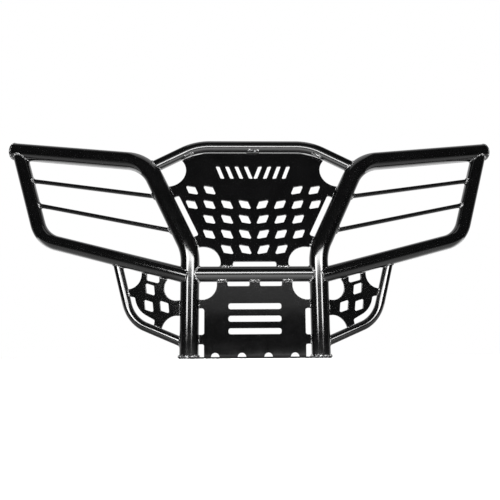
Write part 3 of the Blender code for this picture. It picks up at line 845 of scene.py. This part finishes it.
def lower_outline():
    touch = MAIN_OD / 2.0 + GAP
    top = face_height(CROSS_Z - WING_OD / 2.0 - GAP)
    notch_floor = face_height(FACE_NOTCH_Z)
    notch_in, notch_out = FACE_NOTCH_X
    scallop_x, scallop_z, scallop_r = SCALLOP_FACE
    foot_x = EAR_INNER_X - EAR_NOTCH_WIDE
    flange = rounded([(x, flange_height(y), radius) for x, y, radius in (
        (0.0, FLANGE_BACK, 0.0), (FLANGE_HALF, FLANGE_BACK, 12.0), (FLANGE_HALF, FLANGE_FRONT, 6.0),
        (EAR_INNER_X, FLANGE_FRONT, 8.0), (EAR_INNER_X, EAR_NOTCH_Y, 1.8),
        (foot_x, EAR_NOTCH_Y, 1.8))])
    side = [(foot_x, flange_height(0.0), 0.0), (foot_x, face_height(FACE_TABS_Z[0][0]), 3.0)]
    for k, (z_low, z_high) in enumerate(FACE_TABS_Z):
        side += [(upright_x(z_low) - touch, face_height(z_low), 0.0),
                 (upright_x(z_high) - touch, face_height(z_high), 0.0)]
        if k == 0:
            side += [(FACE_SIDE_X, face_height(z_high), 4.5),
                     (FACE_SIDE_X, face_height(FACE_TABS_Z[1][0]), 4.5)]
    half = flange[1:] + rounded(side)[1:]
    half += arc(scallop_x, face_height(scallop_z), scallop_r, -80.0, -180.0, 40)[1:]
    half += [(scallop_x - scallop_r, top)]
    half += rounded([(notch_out + 4.0, top, 0.0), (notch_out, top, 0.0),
                     (notch_out, notch_floor, 3.0), (notch_in, notch_floor, 3.0),
                     (notch_in, top, 0.0)])[1:]
    return mirrored(half)


def lower_holes():
    holes = []
    for k in range(LOUVRE_COUNT):
        z = LOUVRE_TOP_Z - k * LOUVRE_PITCH
        holes.append(four_sided(0.0, face_height(z), (LOUVRE_HALF, 0.0),
                                (0.0, LOUVRE_HEIGHT / 2.0), LOUVRE_R))
    for step in (0.5, 1.5):
        for _, side in SIDES:
            holes.append(round_hole(side * step * RELIEF_PITCH, FOLD_END / 2.0, RELIEF_R))
    for x in BOLT_X:
        for _, side in SIDES:
            holes.append(round_hole(side * x, flange_height(BOLT_Y), BOLT_D / 2.0))
    return holes


def fold_point(co):
    """Where a point of the flat pattern lies on the folded plate."""
    x, s, w = co
    ear = abs(x) > EAR_INNER_X - 2.0 and s < flange_height(FLANGE_FRONT) + 1.0
    if ear or s <= FOLD_END:
        return (x, FOLD_R + FOLD_END - s, SHEET / 2.0 - w)
    if s < 0.0:
        reach = FOLD_R + w
        angle = -s / FOLD_R
        return (x, FOLD_R - reach * math.cos(angle),
                FOLD_R + SHEET / 2.0 - reach * math.sin(angle))
    return (x, -w, FOLD_R + SHEET / 2.0 + s)


def cut_across(mesh, levels):
    """Cuts a plate's faces at these heights, so that it can be folded there."""
    with editing(mesh) as work:
        for level in levels:
            everything = work.verts[:] + work.edges[:] + work.faces[:]
            bmesh.ops.bisect_plane(work, geom=everything, plane_co=(0.0, level, 0.0),
                                   plane_no=(0.0, 1.0, 0.0), dist=0.0005)


def corner_outline():
    bar_clear = WING_OD / 2.0 / math.cos(WING_SLOPE) + 2.0 * GAP
    tube_touch = CORNER_OD / 2.0 + GAP
    tube_clear = tube_touch + CORNER_TUBE_SLOT

    def under_bar(x, depth=0.0):
        return (x, wing_root_z(x) - bar_clear - depth)

    def beside_tube(z, offset):
        return (corner_tube_x(z) - offset / math.cos(CORNER_LEAN), z)

    def above_tube(x, offset):
        return (x, corner_tube_z(x) + offset / math.cos(CORNER_LOW_SLOPE))

    upright_edge = upright_x(100.0) + MAIN_OD / 2.0 + GAP
    knee_x, knee_z = CORNER_KNEE
    notch_in, notch_out = CORNER_BAR_NOTCH_X
    tab_high, tab_low = CORNER_TUBE_TAB_Z
    foot_out, foot_in = CORNER_FOOT_TAB_X
    points = [(upright_edge, z) for z in CORNER_UPRIGHT_TAB_Z]
    points += arc(*CORNER_UPRIGHT_SCALLOP, -100.0, 43.0, 48)
    points += rounded([(*under_bar(notch_in), 0.0), (*under_bar(notch_in, CORNER_BAR_NOTCH), 4.0),
                       (*under_bar(notch_out, CORNER_BAR_NOTCH), 4.0),
                       (*under_bar(notch_out), 0.0)])
    points += [under_bar(CORNER_BAR_END_X)]
    points += arc(*CORNER_OUTER_SCALLOP, 180.0, 258.0, 32)
    points += [beside_tube(tab_high, tube_touch)]
    points += rounded([(*beside_tube(tab_low, tube_touch), 0.0),
                       (*beside_tube(tab_low - 2.0, tube_clear), 4.0),
                       (knee_x - 13.5, knee_z + 20.5, 46.0),
                       (*above_tube(foot_out - 1.5, tube_clear), 4.0),
                       (*above_tube(foot_out, tube_touch), 0.0)], 14)
    points += [above_tube(foot_in, tube_touch)]
    points += arc(*CORNER_FOOT_SCALLOP, 14.0, 96.0, 32)
    across_plane = math.cos(CORNER_SWEEP)
    return [((x - CORNER_ORIGIN_X) / across_plane, z) for x, z in points]


# ---- building it

DOWN_FRONT = Vector((0.0, -1.0, -0.8))                       # out of the seam under the cross tube
LEAN_OUT = Vector((0.0, -math.cos(LEAN), math.sin(LEAN)))    # out of the grille plate's front
LEAN_UP = Vector((0.0, math.sin(LEAN), math.cos(LEAN)))
UPWARDS = Vector((0.0, 0.0, 1.0))
TUBE_TOUCH = MAIN_OD / 2.0


def build_side(side_name, side):
    """One main tube and all that hangs on its wing; returns the main tube as a cope target."""
    mains = [across(p, side) for p in main_path()]
    wings = [across(p, side) for p in wing_path()]
    corners = [across(p, side) for p in corner_path()]
    main = (mains, MAIN_OD)
    wing = (wings, WING_OD)
    add_tube("main_tube_skin_" + side_name, mains, MAIN_OD, "main_tube_" + side_name)
    add_tube("wing_tube_skin_" + side_name, wings, WING_OD, "wing_tube_" + side_name, main, main,
             (("weld_wing_root_" + side_name, BEAD_WING_ROOT, side + 2.0),
              ("weld_wing_top_" + side_name, BEAD_WING_TOP, side + 3.0)))
    add_tube("corner_tube_skin_" + side_name, corners, CORNER_OD, "corner_tube_" + side_name,
             main, wing, (("weld_corner_foot_" + side_name, BEAD_CORNER_TUBE, side + 4.0),
                          ("weld_corner_top_" + side_name, BEAD_CORNER_TUBE, side + 5.0)))
    for level, start_up, slope in RODS:
        path = [across(p, side) for p in rod_path(start_up, slope)]
        which = level + "_" + side_name
        add_tube("guard_rod_skin_" + which, path, ROD_D, "guard_rod_" + which, main, wing,
                 (("weld_rod_in_" + which, BEAD_ROD_IN, start_up),
                  ("weld_rod_out_" + which, BEAD_ROD_OUT, start_up + 1.0)), rod_coat)
    return main


def build_cap(side_name, side):
    """The pressed disc on a wing bar's end, its edge rounded, and its weld."""
    end = across(main_path()[-1], side)
    direction = across(bar_direction(), side)
    turn = direction.orthogonal().normalized()
    radius = MAIN_OD / 2.0
    shoulder = CAP_THICK - CAP_EDGE_R
    profile = [(0.0, radius), (0.4, radius), (shoulder, radius)]
    for k in range(1, CAP_EDGE_STEPS + 1):
        a = math.radians(90.0 * k / CAP_EDGE_STEPS)
        profile.append((shoulder + CAP_EDGE_R * math.sin(a),
                        radius - CAP_EDGE_R + CAP_EDGE_R * math.cos(a)))
    points = [end + direction * along + spoke
              for along, r in profile for spoke in circle(direction, turn, r)]
    faces = ring_faces(len(profile), AROUND) + end_faces(len(profile), AROUND)
    name = "tip_cap_skin_" + side_name
    add_piece(name, mesh_from(name, points, faces, SHARP_CAP), tube_coat, TUBE_FINISH,
              "tip_cap_" + side_name)
    ring_bead("weld_tip_" + side_name, end, direction, BEAD_CAP, side + 7.0, flat=0.45, sink=0.1)


def build_foot(side_name, side):
    """The weld between an upright's foot and the flange's ear."""
    centre = Vector((side * upright_x(SHEET), 0.0, SHEET + BEAD_FOOT_UP))
    ring_bead("weld_foot_" + side_name, centre, UPWARDS, BEAD_FOOT, side + 9.0, lift=UPWARDS)


def build_crossings(left, right):
    """The cross tube and the hoop between the two main tubes."""
    half = Vector((upright_x(CROSS_Z), 0.0, CROSS_Z))
    add_tube("cross_tube_skin", [across(half, -1), half], WING_OD, "cross_tube", left, right,
             (("weld_cross_left", BEAD_CROSS, 11.0), ("weld_cross_right", BEAD_CROSS, 12.0)))
    add_tube("top_hoop_skin", hoop_path(), HOOP_OD, "top_hoop", left, right,
             (("weld_hoop_left", BEAD_HOOP, 13.0), ("weld_hoop_right", BEAD_HOOP, 14.0)))


def past(low, high):
    """The ends of a bead that runs a little past a tab's."""
    return low - BEAD_OVER, high + BEAD_OVER


def on_grille(co):
    """Where a point of the flat grille plate lies on the leaning one."""
    return lean_point(co[0], co[1]) - LEAN_OUT * (PLATE_BACK - co[2])


def build_middle_plates():
    name = "grille_plate_skin"
    mesh = plate_mesh(name, [grille_outline()] + grille_holes(), SHEET)
    place_plate(name, mesh, on_grille, "grille_plate")
    name = "lower_plate_skin"
    mesh = plate_mesh(name, [lower_outline()] + lower_holes(), SHEET)
    cut_across(mesh, [FOLD_END * k / 12.0 for k in range(13)])
    place_plate(name, mesh, fold_point, "lower_plate")


def grille_seam(name, spots, front, out, radius, seed):
    """A seam on the leaning plate; spots are (x, height), front is how far before the plate."""
    seam(name, [on_grille((x, v, SHEET / 2.0 + front)) for x, v in spots], out, radius, seed)


def face_top_seam(name, ends_x, seed):
    """A seam between the lower plate's top edge and the cross tube."""
    y, up = BEAD_FACE_TOP_PLACE
    points = [Vector((x, y, CROSS_Z - WING_OD / 2.0 + up)) for x in ends_x]
    seam(name, points, DOWN_FRONT, BEAD_FACE_TOP, seed)


def build_middle_seams():
    spots = [(x, hoop_under(x) + 1.5) for x in (-BEAD_HOOP_MIDDLE_X, BEAD_HOOP_MIDDLE_X)]
    grille_seam("weld_hoop_tab_middle", spots, 7.4, LEAN_OUT - LEAN_UP, BEAD_HOOP_MIDDLE, 21.0)
    face_top_seam("weld_face_top_middle", (-BEAD_FACE_MIDDLE_X, BEAD_FACE_MIDDLE_X), 22.0)
    for side_name, side in SIDES:
        inwards = Vector((-side, 0.0, 0.0))
        spots = [(side * x, hoop_under(x) + 1.2) for x in BEAD_HOOP_SIDE_X]
        grille_seam("weld_hoop_tab_" + side_name, spots, 7.0,
                    LEAN_OUT - LEAN_UP + inwards * 0.5, BEAD_HOOP_SIDE, side + 23.0)
        spots = [(side * x, GRILLE_FOOT_V - 1.2) for x in BEAD_GRILLE_FOOT_X]
        grille_seam("weld_grille_foot_" + side_name, spots, 0.8, LEAN_OUT + LEAN_UP,
                    BEAD_GRILLE_FOOT, side + 25.0)
        for level, low, high in (("low", RUN_TAB_LOW_V, RUN_SLOT_V[0]),
                                 ("high", RUN_SLOT_V[1], RUN_TAB_HIGH_V)):
            spots = [(side * run_edge_x(v, TUBE_TOUCH), v) for v in past(low, high)]
            grille_seam("weld_run_tab_" + level + "_" + side_name, spots, 0.6,
                        LEAN_OUT + inwards, BEAD_RUN, side + low)
        face_top_seam("weld_face_top_" + side_name, [side * x for x in BEAD_FACE_TOP_X],
                      side + 27.0)
        for k, (z_low, z_high) in enumerate(FACE_TABS_Z):
            points = [Vector((side * (upright_x(z) - TUBE_TOUCH + 0.3), -2.2, z))
                      for z in (z_low - 0.7, z_high + 0.7)]
            seam("weld_face_side_%d_%s" % (k, side_name), points,
                 inwards + Vector((0.0, -1.0, 0.0)), BEAD_FACE_SIDE, side + 29.0 + k)


def build_corner(side_name, side):
    """A corner plate and the seams along its tabs."""
    outlines = [[(side * x, z) for x, z in corner_outline()]]
    for x, z in CORNER_DIAMONDS:
        middle = side * (x - CORNER_ORIGIN_X) / math.cos(CORNER_SWEEP)
        outlines.append(diamond(middle, z, CORNER_DIAMOND_ACROSS, CORNER_DIAMOND_DOWN, side))
    turned = Vector((math.cos(CORNER_SWEEP), side * math.sin(CORNER_SWEEP), 0.0))
    front = Vector((side * math.sin(CORNER_SWEEP), -math.cos(CORNER_SWEEP), 0.0))
    outwards = Vector((side, 0.0, 0.0))

    def on_corner(co):
        return Vector((side * CORNER_ORIGIN_X, 0.0, co[1])) + turned * co[0] + front * co[2]

    def corner_seam(name, spots, out, radius, seed):
        points = [across(corner_point(x, z), side) + front * (SHEET / 2.0 + 0.5) for x, z in spots]
        seam(name + "_" + side_name, points, out, radius, side + seed)

    name = "corner_plate_skin_" + side_name
    place_plate(name, plate_mesh(name, outlines, SHEET), on_corner, "corner_plate_" + side_name)

    corner_seam("weld_corner_upright",
                [(upright_x(z) + TUBE_TOUCH - 0.5, z) for z in past(*CORNER_UPRIGHT_TAB_Z)],
                outwards + front, BEAD_CORNER_EDGE, 31.0)
    under = WING_OD / 2.0 / math.cos(WING_SLOPE)
    for k, ends_x in enumerate(BEAD_CORNER_BAR_X):
        corner_seam("weld_corner_bar_%d" % k, [(x, wing_root_z(x) - under) for x in ends_x],
                    front - UPWARDS, BEAD_CORNER_EDGE, 33.0 + k)
    beside = CORNER_OD / 2.0 / math.cos(CORNER_LEAN)
    corner_seam("weld_corner_tube",
                [(corner_tube_x(z) - beside, z) for z in past(*reversed(CORNER_TUBE_TAB_Z))],
                front - outwards, BEAD_CORNER_TAB, 35.0)
    above = CORNER_OD / 2.0 / math.cos(CORNER_LOW_SLOPE)
    corner_seam("weld_corner_low",
                [(x, corner_tube_z(x) + above) for x in past(*reversed(CORNER_FOOT_TAB_X))],
                front + UPWARDS, BEAD_CORNER_TAB, 37.0)


def build_rear_tab(side_name, side):
    """The bolt tab behind an upright."""
    low, high = TAB_Z
    middle = (low + high) / 2.0
    front = MAIN_OD / 2.0 + GAP
    outline = rounded([(front, low, 0.0), (TAB_REACH, low, 10.0), (TAB_REACH, high, 10.0),
                       (front, high, 0.0)])
    hole = round_hole(TAB_HOLE_Y, middle, BOLT_D / 2.0)
    x = side * upright_x(middle)
    name = "rear_mount_tab_skin_" + side_name
    place_plate(name, plate_mesh(name, [outline, hole], TAB_SHEET),
                lambda co: Vector((x + co[2], co[0], co[1])), "rear_mount_tab_" + side_name)


main_tubes = []
for side_name, side in SIDES:
    main_tubes.append(build_side(side_name, side))
    build_cap(side_name, side)
    build_foot(side_name, side)
build_crossings(*main_tubes)
build_middle_plates()
build_middle_seams()
for side_name, side in SIDES:
    build_corner(side_name, side)
    build_rear_tab(side_name, side)


# ---- the stage

EYE = (-0.0500, -1.4492, 0.0030)
YAW, PITCH, ROLL = -1.68, 8.66, -0.40       # degrees
FOCAL_PIXELS = 701.7
PICTURE_PIXELS = 500.0
SENSOR = 36.0

SURROUND = 1.30                 # what lights the floor
REFLECTED_FRONT = 0.02          # what reflections see: a dim studio in front
REFLECTED_BACK = 1.0            # and a pale wall behind
FLOOR_GREY = 0.82
FLOOR_HALF = 6.0
GLOW_HALF = 1.6

# Each light's name, place, target, width, height and radiance
LIGHTS = (
    ("strip_left", (-0.72, -1.22, 0.344), (0.0, -0.05, 0.344), 0.32, 0.432, 27.0),
    ("strip_right", (0.67, -1.37, 0.344), (0.0, -0.05, 0.344), 0.32, 0.432, 27.0),
    ("front_bar", (0.0, -0.78, 0.386), (0.0, -0.05, 0.32), 1.50, 0.20, 22.0),
    ("room_front", (-0.25, -2.60, 0.95), (0.0, -0.05, 0.30), 1.6, 1.4, 0.55),
    ("overhead", (0.0, 0.30, 2.6), (0.0, 0.0, 0.0), 1.4, 1.6, 1.0),
)


def area_light(name, place, target, width, height, radiance):
    data = bpy.data.lights.new(name, "AREA")
    data.shape = "RECTANGLE"
    data.size, data.size_y = width, height
    data.energy = radiance * width * height * math.pi
    made = new_object(name, data)
    made.location = place
    aim = Vector(target) - Vector(place)
    made.rotation_euler = aim.to_track_quat("-Z", "Y").to_euler()
    made.visible_camera = False


def backdrop():
    """A white surround for the picture and the floor; reflections find it dim but for the back."""
    surround = bpy.data.worlds.new("studio")
    scene.world = surround
    surround.use_nodes = True
    tree = surround.node_tree
    tree.nodes.clear()
    ray = node(tree, "ShaderNodeLightPath").outputs
    direction = axes_of(tree, "Generated")
    behind = spread(tree, direction["Y"], REFLECTED_FRONT, REFLECTED_BACK, 0.1, 0.75)
    below = spread(tree, direction["Z"], 0.35, 1.0, -0.35, 0.0)
    felt = node(tree, "ShaderNodeMix")
    felt.inputs["A"].default_value = SURROUND
    tree.links.new(ray["Is Glossy Ray"], felt.inputs["Factor"])
    tree.links.new(math_of(tree, "MULTIPLY", behind, below), felt.inputs["B"])
    seen = node(tree, "ShaderNodeMix")
    seen.inputs["B"].default_value = 1.0
    tree.links.new(ray["Is Camera Ray"], seen.inputs["Factor"])
    tree.links.new(felt.outputs["Result"], seen.inputs["A"])
    light = node(tree, "ShaderNodeBackground")
    light.inputs["Color"].default_value = (1.0, 1.0, 1.0, 1.0)
    tree.links.new(seen.outputs["Result"], light.inputs["Strength"])
    out = node(tree, "ShaderNodeOutputWorld")
    tree.links.new(light.outputs["Background"], out.inputs["Surface"])


def stage_sheet(name, half, z, material):
    """A square sheet below the object, for the stage."""
    mesh = bpy.data.meshes.new(name)
    mesh.from_pydata([(-half, -half, 0.0), (half, -half, 0.0), (half, half, 0.0),
                      (-half, half, 0.0)], [], [(0, 1, 2, 3)])
    mesh.materials.append(material)
    made = new_object(name, mesh)
    made.location.z = z
    return made


def lay_floor():
    pale = bpy.data.materials.new("pale_floor")
    pale.use_nodes = True
    shader = pale.node_tree.nodes["Principled BSDF"]
    shader.inputs["Base Color"].default_value = (FLOOR_GREY, FLOOR_GREY, FLOOR_GREY, 1.0)
    shader.inputs["Roughness"].default_value = 0.9
    shader.inputs["Specular IOR Level"].default_value = 0.0
    floor = stage_sheet("floor", FLOOR_HALF, -0.0004, pale)
    floor.visible_glossy = False


def floor_glow():
    """A glowing card that reflections see as the floor: painted light before the middle, beside it
    and behind the wings, and painted shade close in front of and behind the guard.
    """
    glow = bpy.data.materials.new("floor_glow")
    glow.use_nodes = True
    tree = glow.node_tree
    tree.nodes.clear()
    place = axes_of(tree, "Object")
    x, y = math_of(tree, "ABSOLUTE", place["X"]), place["Y"]
    middle = math_of(tree, "MULTIPLY",
                     spread(tree, x, low=3.6, high=0.25, from_low=0.28, from_high=0.50),
                     spread(tree, y, low=0.2, high=1.0, from_low=-1.0, from_high=-0.45))
    # painted shadow: the glow fades just in front of the guard, where the guard's shadow falls on
    # the floor
    middle = math_of(tree, "MULTIPLY", middle,
                     spread(tree, y, low=1.0, high=0.06, from_low=-0.32, from_high=-0.02))
    # painted shade: dim close behind the guard, brighter further back
    rear = spread(tree, y, low=0.1, high=3.0, from_low=-0.06, from_high=0.36)
    aside = math_of(tree, "MULTIPLY",
                    spread(tree, x, low=0.0, high=1.0, from_low=0.26, from_high=0.38),
                    spread(tree, y, low=0.1, high=1.0, from_low=-0.45, from_high=-0.20))
    whole = math_of(tree, "MAXIMUM", math_of(tree, "MAXIMUM", middle, rear), aside)
    shine = node(tree, "ShaderNodeEmission")
    tree.links.new(whole, shine.inputs["Strength"])
    out = node(tree, "ShaderNodeOutputMaterial")
    tree.links.new(shine.outputs["Emission"], out.inputs["Surface"])
    card = stage_sheet("floor_glow", GLOW_HALF, -0.0003, glow)
    card.visible_camera = card.visible_diffuse = card.visible_shadow = False


def set_camera():
    yaw, pitch, roll = math.radians(YAW), math.radians(PITCH), math.radians(ROLL)
    right = Vector((math.cos(yaw), math.sin(yaw), 0.0))
    ahead = Vector((-math.sin(yaw) * math.cos(pitch), math.cos(yaw) * math.cos(pitch),
                    math.sin(pitch)))
    up = right.cross(ahead)
    turned = right * math.cos(roll) + up * math.sin(roll)
    upright = up * math.cos(roll) - right * math.sin(roll)
    data = bpy.data.cameras.new("camera")
    data.sensor_width = SENSOR
    data.lens = FOCAL_PIXELS * SENSOR / PICTURE_PIXELS
    data.clip_start, data.clip_end = 0.005, 50.0
    made = new_object("camera", data)
    basis = Matrix((turned, upright, -ahead)).transposed().to_4x4()
    made.matrix_world = Matrix.Translation(EYE) @ basis
    scene.camera = made


scene.view_settings.view_transform = "Standard"
scene.view_settings.look = "None"
backdrop()
lay_floor()
set_camera()
for light in LIGHTS:
    area_light(*light)
floor_glow()
